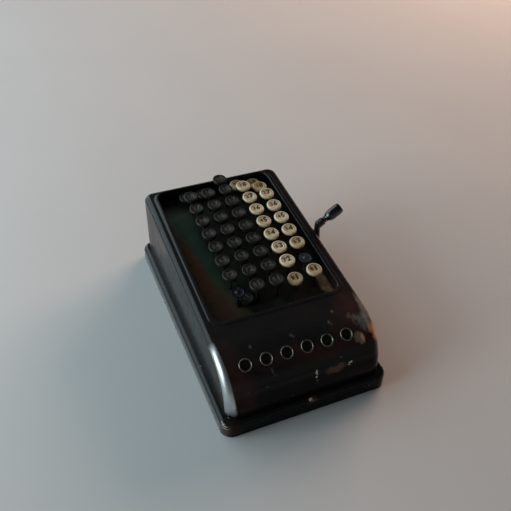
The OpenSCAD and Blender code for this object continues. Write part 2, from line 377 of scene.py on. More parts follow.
class Mat(Nodes):
    """A material made of one principled shader, with textures in object coordinates."""

    def __init__(self, name):
        self.mat = bpy.data.materials.new(name)
        self.mat.use_nodes = True
        super().__init__(self.mat.node_tree, "Object")
        self.bsdf = self.node("BsdfPrincipled")
        self.node("OutputMaterial", {0: self.bsdf.outputs[0]})

    def done(self, **inputs):
        for key, value in inputs.items():
            self.put(self.bsdf.inputs[key.replace("_", " ")], value)
        return self.mat

    def noise(self, scale, detail, rough=0.55, co=None):
        return self.node("TexNoise", {"Vector": self.co if co is None else co, "Scale": scale,
                                      "Detail": detail, "Roughness": rough}).outputs["Fac"]

    def stretch(self, scale, turn=0.0):
        return self.node("Mapping", {"Vector": self.co, "Scale": scale,
                                     "Rotation": (0, 0, turn)}).outputs[0]

    def warp(self, scale, amount):
        """Object coordinates pushed about by noise, for ragged edges."""
        noise = self.node("TexNoise", {"Vector": self.co, "Scale": scale, "Detail": 3})
        shift = self.vector("SUBTRACT", noise.outputs["Color"], {1: (0.5, 0.5, 0.5)})
        shift = self.vector("SCALE", shift.outputs[0], {"Scale": amount})
        return self.vector("ADD", self.co, {1: shift.outputs[0]}).outputs[0]

    def spots(self, items, warp, soft):
        """1 inside the ellipsoids (x, y, z, then their half sizes, in mm), 0 outside.

        warp is the (scale, amount) of the raggedness, soft the width of the edge.
        """
        co = self.warp(*warp)
        total = None
        for item in items:
            centre, radii = (tuple(v * MM for v in part) for part in (item[:3], item[3:]))
            away = self.vector("SUBTRACT", co, {1: centre})
            away = self.vector("DIVIDE", away.outputs[0], {1: radii})
            away = self.vector("LENGTH", away.outputs[0]).outputs["Value"]
            spot = self.remap(away, (1 - soft, 1 + soft), (1.0, 0.0))
            total = spot if total is None else self.max(total, spot)
        return total

    def bump(self, height, strength, dist):
        return self.node("Bump", {"Strength": strength, "Distance": dist,
                                  "Height": height}).outputs[0]

    def baked(self, name):
        """An attribute stored on the mesh."""
        return self.node("Attribute", attribute_name=name).outputs["Fac"]

    def own_co(self):
        """Object coordinates shifted by a random amount for each object, and that random."""
        random = self.node("ObjectInfo").outputs["Random"]
        shift = self.mul(random, 7.0)
        shift = self.node("CombineXYZ", {0: shift, 1: shift, 2: shift}).outputs[0]
        return self.vector("ADD", self.co, {1: shift}).outputs[0], random


# ---------------------------------------------------------------- enamel
# chips in the enamel down to primer or bare sheet: x, y, z, then half sizes
CHIPS_BRIGHT = [
    (9.4, -123.2, 39.6, 1.1, 2, 2.6), (8.8, -124.6, 35.4, 0.8, 2, 1.0),
    (42.2, -123.2, 39.2, 1.9, 2, 0.9), (40.6, -123.4, 37.6, 1.0, 2, 0.7)]
CHIPS_DIM = [
    (9.1, -125.2, 31.6, 1.1, 2, 1.5), (33.9, -119.6, 45.7, 1.1, 1.5, 0.7),
    (-41.8, -95.2, 64.6, 1.3, 1.5, 1.3), (-3.9, -95.6, 64.6, 1.2, 1.6, 1.3),
    (-2.4, -97.4, 63.6, 0.7, 0.9, 1.3), (41.2, -84.4, 66.5, 1.2, 1.5, 1.3),
    (33.4, -94.0, 65, 1.1, 1.8, 1.3), (35.0, -96.6, 64, 0.8, 0.9, 1.2),
    (-37.1, -122.3, 40.8, 1.4, 2, 0.5), (-53.4, -122.4, 40.6, 0.6, 2, 0.6),
    (-14, -126.4, 23.0, 0.6, 1, 0.8), (-64.5, -70, 71.5, 0.7, 2.4, 1.0),
    (60, 96, 83.4, 0.8, 1.6, 1.2), (-73.9, -20, 52, 1, 1.3, 1.7),
    (-71.6, 119.6, 84.6, 1.0, 1.2, 1.4), (-74, 117.0, 80.6, 0.9, 1.1, 1.2),
    (-72.6, 94.9, 81.5, 0.9, 1.3, 1.1), (-74, 66, 34, 1, 1.8, 0.9),
    (74, -44, 41, 1, 1.5, 1.1), (74, 70, 58, 1, 0.9, 1.9),
    (22, 126.3, 52, 1.8, 1, 1.0), (-41, 126.3, 30, 1.0, 1, 1.9)]
BASE_CHIP_BRIGHT = [(1.5, -131.2, 15.6, 1.7, 1.6, 1.0)]
BASE_CHIPS_DIM = [
    (3.4, -131.8, 13.8, 0.9, 1.2, 0.8), (60, -132, 9, 0.7, 2, 0.9),
    (-76, -60, 15.8, 1, 1.6, 1), (-79.8, 20, 8, 1, 0.9, 0.8),
    (-79.6, -96, 12.6, 0.9, 2.1, 0.9), (79.8, -40, 12, 1, 2.2, 0.8),
    (79.6, 84, 5, 1, 1.5, 1.2), (-30, 132, 9, 1.8, 1, 1)]


def case_marks(m, base):
    """Stains, thin places, a painted reflection and painted highlights on the case; returns colour,
    wear (with the painted reflection), copper (with its painted highlight) and tan masks.
    """
    # brown cast at both front shoulders and round the sight holes
    brown = m.spots([(-62, -112, 43, 12, 24, 34), (56, -100, 60, 22, 15, 15),
                     (14, -110, 56, 66, 6, 8), (70, -112, 44, 9, 14, 26),
                     (45, -108, 57, 20, 10, 9), (63, -84, 67, 11, 32, 12)],
                    warp=(26, 0.035), soft=0.55)
    base = m.lay(base, brown, m.mix(m.noise(120, detail=5, rough=0.65),
                                    (0.0205, 0.0062, 0.0044), (0.059, 0.0190, 0.0125)), 0.85)
    # painted reflection of a pale wall on the right front shoulder: a grey sheen that breaks into
    # streaks
    shoulder_sheen = m.spots([(70.0, -84, 66.2, 1.9, 9, 3.5), (69.2, -91, 65.2, 2.9, 7, 3.4),
                     (67.6, -97.5, 63.2, 3.7, 5.5, 3.8), (67, -103, 61, 3.0, 4.5, 4)],
                    warp=(60, 0.006), soft=0.6)
    base = m.lay(base, shoulder_sheen, m.mix(m.noise(200, detail=4), (0.180, 0.155, 0.135),
                                    (0.40, 0.355, 0.32)),
                 m.remap(m.noise(110, detail=4, rough=0.6), (0.25, 0.6), (0.55, 0.95)))
    worn = m.spots([(60, -98.5, 63, 5.5, 5, 5), (56, -95, 64.5, 4.5, 3, 3),
                    (64, -105, 60, 4, 5, 5)], warp=(55, 0.010), soft=0.45)
    streak = m.noise(150, detail=6, rough=0.72, co=m.stretch((2.2, 0.7, 1), turn=-0.6))
    worn = m.mul(worn, m.fade(streak, 0.40, 0.60))
    base = m.lay(base, worn, m.mix(m.noise(340, detail=4), (0.100, 0.078, 0.062),
                                   (0.31, 0.27, 0.24)), 0.85)
    # from here the wear mask also carries the painted shoulder reflection
    worn = m.max(worn, shoulder_sheen)
    # pale bare blob beside the last sight hole
    pale = m.spots([(54.6, -111.4, 55.4, 3.5, 4.2, 4.2), (56.6, -114.6, 52.4, 2.4, 3, 3)],
                   warp=(150, 0.004), soft=0.45)
    base = m.lay(base, pale, m.mix(m.noise(300, detail=4), (0.150, 0.105, 0.078),
                                   (0.42, 0.315, 0.245)), 0.9)
    # its coppery edge, and a coppery mark on the corner: worn places, painted bright as a warm
    # highlight
    copper_glint = m.spots([(58.0, -112.6, 54.4, 1.3, 3.6, 3.6), (69.3, -108.0, 57.6, 3.0, 4.6, 5.0),
                      (70.6, -112.4, 53.2, 2.6, 3.8, 4.6)], warp=(160, 0.004), soft=0.5)
    base = m.lay(base, copper_glint, m.mix(m.noise(260, detail=4, rough=0.6), (0.72, 0.255, 0.095),
                                     (1.0, 0.52, 0.27)), 0.92)
    copper_glint = m.max(copper_glint, pale)
    # rubbed flash on the front
    tan = m.spots([(27, -123.8, 37.0, 8.4, 3, 3.2), (33.5, -123.4, 38.8, 4.2, 3, 2.1)],
                  warp=(200, 0.005), soft=0.35)
    base = m.lay(base, tan, m.mix(m.noise(480, detail=4), (0.070, 0.042, 0.029),
                                  (0.215, 0.140, 0.098)), 0.9)
    return base, worn, copper_glint, tan


def rubbed_shoulder(m, leftness, y, z):
    """Mask of the painted highlight on the left front shoulder: a band of bright grey metal in place
    of the window's reflection.
    """
    side = m.add(leftness(), m.remap(m.noise(190, detail=6, rough=0.7), (0.25, 0.75),
                                     (-0.15, 0.15)))
    side = m.add(side, m.remap(z, (0.048, 0.060), (0.0, 0.14)))
    highlight_band = m.mul(m.remap(side, (0.03, 0.25)), m.remap(leftness(), (0.992, 0.955)))
    # only near the front, and clear of the bottom edge
    highlight_band = m.mul(highlight_band, m.mul(m.remap(y, (-0.080, -0.090)), m.remap(z, (0.0185, 0.0300))))
    return m.mul(highlight_band, m.remap(leftness(), (0.03, 0.20)))


def case_chips(m):
    """Bright and dim chip masks of the case."""
    bright = m.spots(CHIPS_BRIGHT, warp=(520, 0.0024), soft=0.25)
    dim = m.mul(0.55, m.spots(CHIPS_DIM, warp=(520, 0.0034), soft=0.5))
    # a run of old dirt under the second sight hole
    dirt = m.spots([(-29.6, -115.6, 51.0, 0.7, 2.5, 3.2), (-28.6, -117.8, 47.6, 0.6, 1.4, 1.2)],
                   warp=(420, 0.002), soft=0.4)
    return bright, m.max(dim, m.mul(0.5, dirt))


def base_marks(m, base):
    """Chips, stains and painted highlights on the base; returns colour, bright and dim masks."""
    # painted highlights: thin bright lines on the moulding's ridges at the front left corner
    corner_glints = m.spots([(-78.2, -127.6, 13.9, 2.6, 2.8, 0.50),
                            (-77.4, -128.8, 11.0, 3.0, 2.6, 0.50)], warp=(300, 0.0022), soft=0.5)
    bright = m.max(m.spots(BASE_CHIP_BRIGHT, warp=(520, 0.0026), soft=0.25),
                   m.mul(0.75, corner_glints))
    dim = m.spots(BASE_CHIPS_DIM, warp=(520, 0.0030), soft=0.35)
    ring = m.spots([(3.6, -131, 14, 4.6, 3, 3.4)], warp=(260, 0.004), soft=0.4)
    base = m.lay(base, ring, (0.085, 0.036, 0.016), 0.75)
    corner = m.spots([(-74, -130, 8, 9, 7, 8)], warp=(70, 0.010), soft=0.6)
    return m.lay(base, corner, (0.034, 0.016, 0.012), 0.8), bright, dim


def enamel(name, is_case):
    m = Mat(name)
    nx, ny, nz = m.xyz(m.node("NewGeometry").outputs["Normal"])
    _, y, z = m.xyz(m.co)

    def leftness():
        return m.mul(nx, -1.0)

    # the upright front, and the flat left side of the case, have lost most of their shine
    dull = m.mul(m.remap(m.mul(ny, -1.0), (0.72, 0.96)), m.remap(z, (0.052, 0.036)))
    if is_case:
        dull = m.max(dull, m.mul(0.90, m.remap(leftness(), (0.975, 0.998))))
    big = m.noise(14, detail=5, rough=0.6)
    mid = m.noise(70, detail=5, rough=0.6)
    fine = m.noise(900, detail=3, rough=0.6)
    dusty = m.mul(m.remap(nz, (0.30, 0.90)), 0.085 if is_case else 0.0)
    # deep black that turns brown where the coat is thin
    base = m.lay((0.0036, 0.0035, 0.0037), m.fade(big, 0.48, 0.72),
                 (0.0120, 0.0062, 0.0046), 0.35)
    base = m.mix(m.fade(mid, 0.5, 0.8, top=0.25), base, (0.0095, 0.0090, 0.0090))
    rough = m.remap(big, (0.3, 0.75), (0.20, 0.30))
    rough = m.add(rough, m.remap(mid, (0.35, 0.75), (-0.02, 0.09)))
    if is_case:
        base, worn, copper_glint, tan = case_marks(m, base)
        rough = m.add(rough, m.mul(worn, 0.22))
        highlight_band = rubbed_shoulder(m, leftness, y, z)
        bright, dim = case_chips(m)
    else:
        tan = m.mul(1.0, 0.0)
        base, bright, dim = base_marks(m, base)
    # small chips along edges, and a few anywhere
    bevel = m.node("Bevel", {"Radius": 0.0020}, samples=6).outputs[0]
    flatness = m.vector("DOT_PRODUCT", bevel, {1: m.node("NewGeometry").outputs["Normal"]})
    wear = m.mul(m.remap(flatness.outputs["Value"], (0.999, 0.93)),
                 m.fade(m.noise(230, detail=6, rough=0.7), 0.56, 0.60))
    specks = m.fade(m.noise(115, detail=7, rough=0.72), 0.74, 0.755)
    wear = m.max(wear, m.mul(specks, 0.5))
    base = m.lay(base, wear, (0.10, 0.075, 0.060), 0.6)
    base = m.mix(dim, base, m.mix(m.noise(700, detail=3), (0.085, 0.075, 0.070),
                                  (0.24, 0.22, 0.205)))
    # bright chips; on the base these include the painted highlights on the corner moulding
    base = m.mix(bright, base, (0.66, 0.64, 0.58))
    # painted highlight: bright grey metal over the band on the left front shoulder
    if is_case:
        base = m.mix(highlight_band, base, m.mix(m.noise(150, detail=5, rough=0.65), (0.44, 0.475, 0.49),
                                      (0.70, 0.735, 0.745)))
    base = m.mix(dusty, base, (0.088, 0.082, 0.082))
    # thin film of dust and grease
    film = m.fade(m.noise(45, detail=6, rough=0.65), 0.35, 0.75)
    base = m.lay(base, film, (0.09, 0.085, 0.08), 0.07)
    flat = m.max(m.max(bright, dim), m.max(wear, tan))
    if is_case:
        rough = m.add(rough, m.mul(copper_glint, 0.06))
    # fine scratches in two directions
    along = m.noise(60, detail=2, rough=0.5, co=m.stretch((1, 28, 1), turn=0.35))
    across = m.noise(80, detail=2, rough=0.5, co=m.stretch((30, 1, 1), turn=-0.2))
    scratch = m.max(m.fade(along, 0.70, 0.73), m.fade(across, 0.71, 0.74))
    rough = m.add(rough, m.mul(scratch, 0.10))
    rough = m.add(rough, m.mul(flat, 0.3), clamp=True)
    coat = m.mul(m.sub(1.0, flat, clamp=True), m.remap(film, (0, 1), (1.0, 0.7)))
    height = m.add(m.mul(fine, 0.05), m.mul(mid, 0.22))
    height = m.sub(height, m.mul(flat, 0.35))
    height = m.sub(height, m.mul(scratch, 0.03))
    if is_case:
        rough = m.add(m.mul(rough, m.sub(1.0, highlight_band)), m.mul(highlight_band, 0.36))
        coat = m.mul(coat, m.sub(1.0, m.mul(highlight_band, 0.5)))
    coat = m.mul(coat, m.sub(1.0, m.mul(dull, 0.82)))
    return m.done(
        Base_Color=base, Roughness=rough, Metallic=highlight_band if is_case else 0.0,
        Specular_IOR_Level=m.remap(dull, (0, 1), (0.12, 0.04)),
        Specular_Tint=m.remap(dull, (0, 1), (1.0, 0.15)), Coat_Weight=coat,
        Coat_Roughness=m.remap(film, (0, 1), (0.06, 0.13)), Coat_IOR=1.42,
        Normal=m.bump(height, strength=0.25, dist=0.0006),
        Coat_Normal=m.bump(height, strength=0.10, dist=0.0006))


# ---------------------------------------------------------------- other materials
def steel(name, colour, rough, rust):
    m = Mat(name)
    grain = m.noise(300, detail=3, rough=0.6, co=m.stretch((1, 1, 18)))
    base = m.mix(m.fade(m.noise(180, detail=5, rough=0.6), 0.4, 0.7), colour,
                 tuple(c * 0.55 for c in colour))
    rusty = m.fade(m.noise(240, detail=6, rough=0.7), 0.60 - 0.12 * rust, 0.78 - 0.12 * rust)
    base = m.lay(base, rusty, (0.11, 0.055, 0.028), 0.7 * min(1, rust * 2))
    shine = m.remap(grain, (0.3, 0.7), (rough - 0.08, rough + 0.12))
    return m.done(Base_Color=base, Metallic=m.remap(rusty, (0, 1), (1.0, 0.35)),
                  Roughness=m.add(shine, m.mul(rusty, 0.25), clamp=True),
                  Normal=m.bump(m.add(grain, m.mul(rusty, 0.6)), strength=0.15, dist=0.0003))


def plate_green():
    m = Mat("plate_green")
    patches = m.noise(26, detail=5, rough=0.6)
    mottle = m.noise(140, detail=5, rough=0.65)
    green = m.mix(m.fade(patches, 0.35, 0.7), (0.028, 0.060, 0.043), (0.056, 0.100, 0.068))
    green = m.mix(m.fade(mottle, 0.45, 0.75, top=0.6), green, (0.035, 0.045, 0.038))
    # nearly black plate: painted shade, with some grime
    dark = m.mix(m.fade(mottle, 0.35, 0.7), (0.0115, 0.0120, 0.0104), (0.026, 0.0245, 0.019))
    x, y, _ = m.xyz(m.warp(38, 0.012))
    # green along the left side; among and in front of the keys nearly black: painted shade of the
    # keys and walls, with some grime
    green_strip = m.mul(m.remap(x, (-0.030, -0.043)), m.remap(y, (-0.052, -0.036)))
    green_strip = m.mul(green_strip, m.remap(y, (0.106, 0.090)))
    green_strip = m.max(green_strip, m.mul(0.22, m.fade(m.noise(50, detail=4, rough=0.6), 0.5, 0.62)))
    base = m.mix(green_strip, dark, green)
    # rust creeping in along the left side, wider towards the front
    widen = m.add(m.remap(y, (0.045, 0.000), (0.0, 0.0035)),
                  m.remap(y, (0.000, -0.052), (0.0, 0.0160)))
    reach = m.add(m.remap(y, (0.072, 0.045), (-0.0535, -0.0475)), widen)
    depth = m.sub(reach, x)
    rust = m.mul(m.remap(depth, (-0.0025, 0.002)), m.remap(y, (0.078, 0.050)))
    rust_colour = m.mix(m.noise(170, detail=6, rough=0.7), (0.046, 0.019, 0.008),
                        (0.175, 0.076, 0.031))
    rust_colour = m.mix(m.remap(y, (-0.012, -0.055)), rust_colour,
                        m.mix(mottle, (0.036, 0.022, 0.014), (0.115, 0.060, 0.038)))
    base = m.lay(base, rust, rust_colour, 0.92)
    # olive fringe beside the rust
    fringe = m.mul(m.remap(depth, (-0.008, -0.002)), m.remap(y, (0.03, -0.02)))
    base = m.lay(base, m.sub(fringe, rust, clamp=True), (0.085, 0.078, 0.040), 0.6)
    # tan bare patch by the right wall
    tan = m.spots([(56.2, -34, 59, 5.0, 12, 9), (55.5, -44, 58, 5.5, 9, 6),
                   (58, -53, 57, 3.5, 5, 6)], warp=(60, 0.005), soft=0.35)
    base = m.lay(base, tan, m.mix(mottle, (0.36, 0.205, 0.115), (0.78, 0.50, 0.32)), 0.92)
    # brown staining between the right-hand columns
    stain = m.mul(m.remap(x, (0.012, 0.026)),
                  m.fade(m.noise(44, detail=5, rough=0.65), 0.42, 0.62, top=0.8))
    base = m.mix(stain, base, (0.034, 0.022, 0.013))
    bare = m.max(rust, tan)
    rough = m.remap(mottle, (0.3, 0.7), (0.30, 0.46))
    height = m.add(m.mul(mottle, 0.4), m.mul(bare, m.noise(500, detail=4, rough=0.7)))
    return m.done(Base_Color=base, Roughness=m.add(rough, m.mul(bare, 0.25), clamp=True),
                  Specular_IOR_Level=0.15, Coat_Roughness=0.2,
                  Coat_Weight=m.mul(m.sub(1.0, bare, clamp=True), 0.06),
                  Normal=m.bump(height, strength=0.35, dist=0.0005))


def cream():
    m = Mat("cream_key")
    co, _ = m.own_co()
    r = m.baked("cap_r")
    age = m.baked("cap_age")
    mottle = m.noise(210, detail=4, rough=0.6, co=co)
    grain = m.noise(900, detail=4, rough=0.65, co=co)
    base = m.mix(m.fade(mottle, 0.3, 0.75), (1.0, 0.915, 0.70), (0.90, 0.76, 0.49))
    base = m.lay(base, age, (0.56, 0.40, 0.19), 0.75)
    # brown in the dish, more on aged keys: dirt plus painted shade of the hollow; cleaner rim
    ragged_r = m.add(r, m.remap(mottle, (0.2, 0.8), (-0.18, 0.18)))
    dish_dirt_and_shade = m.mul(m.remap(ragged_r, (0.78, 0.28)), m.remap(age, (0, 1), (0.16, 0.80)))
    base = m.mix(dish_dirt_and_shade, base, (0.42, 0.29, 0.125))
    # painted shadow in the groove between dish and rim
    off_groove = m.math("ABSOLUTE", m.sub(r, 0.705))
    groove = m.mul(m.remap(off_groove, (0.085, 0.02)), m.remap(mottle, (0.25, 0.7), (0.45, 0.95)))
    base = m.mix(groove, base, (0.150, 0.086, 0.030))
    # painted shade, brown, down the skirt and under the cap
    base = m.lay(base, m.remap(r, (1.02, 1.22)), (0.25, 0.150, 0.060), 0.80)
    pits = m.fade(m.noise(1500, detail=3, rough=0.7, co=co), 0.66, 0.72)
    base = m.lay(base, pits, (0.22, 0.14, 0.07), 0.5)
    return m.done(Base_Color=base, Roughness=m.remap(grain, (0.25, 0.8), (0.24, 0.42)),
                  Specular_IOR_Level=0.5, Subsurface_Weight=0.04,
                  Subsurface_Radius=(0.0016, 0.0010, 0.0005), Subsurface_Scale=0.6,
                  Coat_Weight=0.85, Coat_Roughness=0.10, Coat_IOR=1.65,
                  Normal=m.bump(m.sub(grain, m.mul(pits, 0.6)), strength=0.12, dist=0.0003))


def black_cap():
    m = Mat("black_key")
    co, random = m.own_co()
    mottle = m.noise(230, detail=5, rough=0.65, co=co)
    grain = m.noise(1100, detail=4, rough=0.65, co=co)
    base = m.mix(m.fade(mottle, 0.3, 0.7), (0.0090, 0.0092, 0.0086), (0.0215, 0.0210, 0.0185))
    ragged_r = m.add(m.baked("cap_r"), m.remap(mottle, (0.2, 0.8), (-0.25, 0.25)))
    dust = m.mul(m.remap(ragged_r, (0.95, 0.2)), m.remap(random, (0, 1), (0.12, 0.42)))
    base = m.mix(dust, base, (0.070, 0.068, 0.056))
    rough = m.remap(grain, (0.25, 0.8), (0.30, 0.48))
    return m.done(Base_Color=base, Roughness=m.add(rough, m.mul(dust, 0.3), clamp=True),
                  Specular_IOR_Level=0.26, Coat_Weight=0.06, Coat_Roughness=0.28,
                  Normal=m.bump(grain, strength=0.12, dist=0.0003))


def ink(name, colour, fade):
    m = Mat(name)
    noise = m.noise(800, detail=4, rough=0.7, co=m.own_co()[0])
    base = m.lay(colour, m.fade(noise, 0.4, 0.65), tuple(min(1, c * 0.4 + 0.02) for c in colour),
                 fade)
    return m.done(Base_Color=base, Roughness=m.remap(noise, (0.2, 0.8), (0.35, 0.6)),
                  Normal=m.bump(noise, strength=0.1, dist=0.0002))


def plain_black(name, colour, rough, coat, worn, amount):
    m = Mat(name)
    patches = m.noise(220, detail=6, rough=0.65)
    grain = m.noise(1300, detail=3, rough=0.6)
    wear = m.fade(patches, 0.60, 0.70)
    shine = m.remap(grain, (0.3, 0.7), (rough - 0.05, rough + 0.07))
    return m.done(Base_Color=m.lay(colour, wear, worn, amount),
                  Roughness=m.add(shine, m.mul(wear, 0.12)),
                  Specular_IOR_Level=0.6, Coat_Weight=coat, Coat_Roughness=0.08,
                  Normal=m.bump(m.add(grain, patches), strength=0.10, dist=0.0003))


CASE_ENAMEL = enamel("case_enamel", is_case=True)
BASE_ENAMEL = enamel("base_enamel", is_case=False)
PLATE_GREEN = plate_green()
CREAM = cream()
BLACK = black_cap()
STEM_STEEL = steel("key_stem_steel", (0.060, 0.056, 0.050), rough=0.50, rust=0.35)
BARE_METAL = steel("bare_key_metal", (0.27, 0.285, 0.315), rough=0.40, rust=0.35)
BARE_BLUED = steel("bare_key_blued", (0.080, 0.092, 0.125), rough=0.36, rust=0.3)
FRAME_STEEL = steel("frame_steel", (0.36, 0.35, 0.33), rough=0.42, rust=0.45)
SCREW_STEEL = steel("screw_steel", (0.42, 0.41, 0.38), rough=0.35, rust=0.4)
RIM_METAL = steel("rim_metal", (0.25, 0.24, 0.22), rough=0.36, rust=0.35)
WHEEL_BLACK = plain_black("wheel_black", (0.0200, 0.0175, 0.0150), rough=0.50, coat=0.0,
                          worn=(0.050, 0.040, 0.028), amount=0.30)
WHEEL_INK = ink("wheel_digit", (0.050, 0.038, 0.024), fade=0.7)
INK_MID = ink("key_digit_mid", (0.070, 0.045, 0.018), fade=0.3)
INK_MID_SMALL = ink("key_complement_mid", (0.120, 0.078, 0.030), fade=0.3)
INK_DARK = ink("key_digit_dark", (0.014, 0.0085, 0.004), fade=0.2)
INK_BROWN = ink("key_digit_brown", (0.042, 0.024, 0.006), fade=0.25)
INK_LIGHT = ink("key_digit_light", (0.100, 0.097, 0.082), fade=0.65)
LEVER_STEEL = plain_black("lever_steel", (0.0060, 0.0068, 0.0085), rough=0.30, coat=0.5,
                          worn=(0.12, 0.115, 0.11), amount=0.30)
GRIP_BLACK = plain_black("grip_black", (0.0030, 0.0040, 0.0060), rough=0.20, coat=0.7,
                         worn=(0.010, 0.011, 0.013), amount=0.4)

# ---------------------------------------------------------------- case shell
EDGE_STEPS = 12                       # round the edge, across the case
SIDE_COLS = 4                         # extra columns of points beside each edge
COL_GAP = (CORNER_R - EDGE_R) / SIDE_COLS


def case_stations():
    """Side outline, up the rear wall, over the top and down the front.

    Each station is (y, z), outward normal (y, z), edge radius, and the y that its extra side
    columns start from, or None in front of the rear corners.
    """
    stations = []
    for k in range(10):
        z = CASE_BOTTOM + (REAR_Z - CASE_BOTTOM) * (k / 10)
        stations.append(((HALF_L, z), (1, 0), EDGE_R, REAR_Y))

    def on_curve(cy, cz, r, ny, nz, edge, side_y=None):
        stations.append(((cy + r * ny, cz + r * nz), (ny, nz), edge, side_y))

    for k in range(12):
        a = k / 12 * (math.pi / 2 + SLOPE)
        on_curve(REAR_Y, REAR_Z, EDGE_R, math.cos(a), math.sin(a), EDGE_R, REAR_Y)
    ny, nz = PANEL_N
    y0, z0 = REAR_Y + EDGE_R * ny, REAR_Z + EDGE_R * nz
    y1, z1 = ARC_Y + FRONT_R * ny, ARC_Z + FRONT_R * nz
    on_panel = [(k * COL_GAP / (y0 - y1), REAR_Y - k * COL_GAP) for k in range(5)]
    on_panel += [(k / 6, None) for k in range(1, 6)]
    for t, side_y in on_panel:
        stations.append(((y0 + (y1 - y0) * t, z0 + (z1 - z0) * t), PANEL_N, EDGE_R, side_y))
    for k in range(56):
        t = k / 56
        a = (math.pi / 2 - SLOPE) * (1 - t)
        on_curve(ARC_Y, ARC_Z, FRONT_R, -math.cos(a), math.sin(a),
                 CORNER_R + (EDGE_R - CORNER_R) * (1 - t))
    for k in range(4):
        stations.append(((-HALF_L, ARC_Z + (CASE_BOTTOM - ARC_Z) * (k / 3)), (-1, 0), CORNER_R,
                         None))
    return stations


def round_corner(point, inset):
    """Carries the rear corners, laid out at the edge radius, round to the corner radius."""
    x, y, z = point
    plan_r, edge_r = CORNER_R - inset, EDGE_R - inset
    u, v = abs(x) - (HALF_W - CORNER_R), y - (HALF_L - CORNER_R)
    if u <= 1e-9 or v <= 1e-9:
        return point
    square = plan_r - edge_r
    if u > square and v > square:
        r = math.hypot(u - square, v - square)
        depth = edge_r - r
        along = square + math.atan2(v - square, u - square) * r
        total = 2 * square + math.pi / 2 * r
    else:
        depth = plan_r - max(u, v)
        if depth < edge_r:
            total = 2 * square + math.pi / 2 * (edge_r - depth)
        else:
            total = 2 * (plan_r - depth)
        along = v if u >= v else total - u
    a = math.pi / 2 * along / total
    new_y = HALF_L - CORNER_R + (plan_r - depth) * math.sin(a)
    # keep to the panel's slope at the top, easing off to none at the bottom edge
    share = max(0.0, min(1.0, (z - CASE_BOTTOM) / (REAR_Z - CASE_BOTTOM)))
    return (math.copysign(HALF_W - CORNER_R + (plan_r - depth) * math.cos(a), x), new_y,
            z + STEEPNESS * (new_y - y) * share)


def envelope(name, inset, drop):
    """Solid of the case, shrunk by inset, with its bottom edge lowered by drop."""
    rings = []
    for (y, z), (ny, nz), r, side_y in case_stations():
        row = []
        edge_r = r - inset
        for s in (-1, 1):
            part = [(s * (HALF_W - r - k * COL_GAP), y - ny * inset, z - nz * inset)
                    for k in range(SIDE_COLS, 0, -1)]
            for i in range(EDGE_STEPS + 1):
                a = math.pi / 2 * i / EDGE_STEPS
                fall = edge_r - edge_r * math.cos(a)
                part.append((s * (HALF_W - r + edge_r * math.sin(a)),
                             y - ny * inset - ny * fall, z - nz * inset - nz * fall))
            last_x, last_y, last_z = part[-1]
            for k in range(1, SIDE_COLS + 1):
                col_y = last_y if side_y is None else min(last_y, side_y - k * COL_GAP)
                fall = STEEPNESS * (last_y - col_y) if ny != 1 else 0.0
                part.append((last_x, col_y, last_z - fall))
            part = [round_corner(p, inset) for p in part]
            row += part[::-1] if s < 0 else part
        rings.append(row)
    for k in (0, -1):
        rings[k] = [(x, y, z - drop) for x, y, z in rings[k]]
    n, m = len(rings[0]), len(rings)
    faces = []
    for k in range(m - 1):
        for i in range(n - 1):
            faces.append((k * n + i, k * n + i + 1, (k + 1) * n + i + 1, (k + 1) * n + i))
    faces.append(tuple(k * n for k in range(m)))                    # left side
    faces.append(tuple(k * n + n - 1 for k in reversed(range(m))))  # right side
    faces.append(tuple(range(n)) + tuple((m - 1) * n + i for i in reversed(range(n))))  # bottom
    ob = make_obj(name, [p for row in rings for p in row], faces)
    bm = bmesh.new()
    bm.from_mesh(ob.data)
    bmesh.ops.remove_doubles(bm, verts=bm.verts, dist=1e-7)
    bmesh.ops.dissolve_degenerate(bm, edges=bm.edges, dist=1e-7)
    bmesh.ops.recalc_face_normals(bm, faces=bm.faces)
    bm.to_mesh(ob.data)
    bm.free()
    return ob


def panel_point(x, y, h):
    """Point at plan position x, y and height h above the top panel."""
    along = (y - HALF_L) / math.cos(SLOPE)
    return (x, HALF_L + along * math.cos(SLOPE) - h * math.sin(SLOPE),
            CASE_H + along * math.sin(SLOPE) + h * math.cos(SLOPE))


def window_axis():
    return Vector((0, -math.cos(WINDOW_TILT), math.sin(WINDOW_TILT)))


def window_pos(k):
    return Vector((col_x(k), ARC_Y - FRONT_R * math.cos(WINDOW_TILT),
                   ARC_Z + FRONT_R * math.sin(WINDOW_TILT)))


